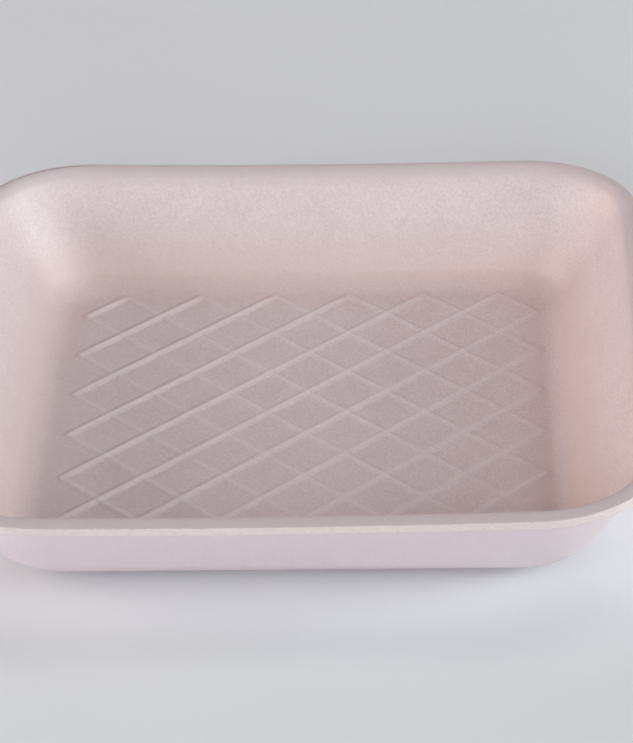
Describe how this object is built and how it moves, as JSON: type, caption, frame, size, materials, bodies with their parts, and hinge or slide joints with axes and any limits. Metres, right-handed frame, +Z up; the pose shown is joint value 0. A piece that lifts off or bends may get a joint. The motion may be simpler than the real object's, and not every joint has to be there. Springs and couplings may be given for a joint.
{
  "type": "foam tray",
  "caption": "Square food tray pressed from pale pink foam sheet, with sloping walls, round corners, a short flared lip and a diamond net of ridges on the floor.",
  "frame": {"origin": "middle of the tray's outline, on the surface that it stands on", "axes": "+Z up out of the tray's mouth, -Y the side nearest the camera in the picture, +X to the right of it"},
  "size_m": [0.133, 0.133, 0.0234],
  "materials": {
    "foam": "pale pink expanded foam sheet, matte with a faint satin skin, and a rougher grain on the trimmed edge"
  },
  "bodies": {
    "root": {"tray": "foam"}
  },
  "joints": []
}
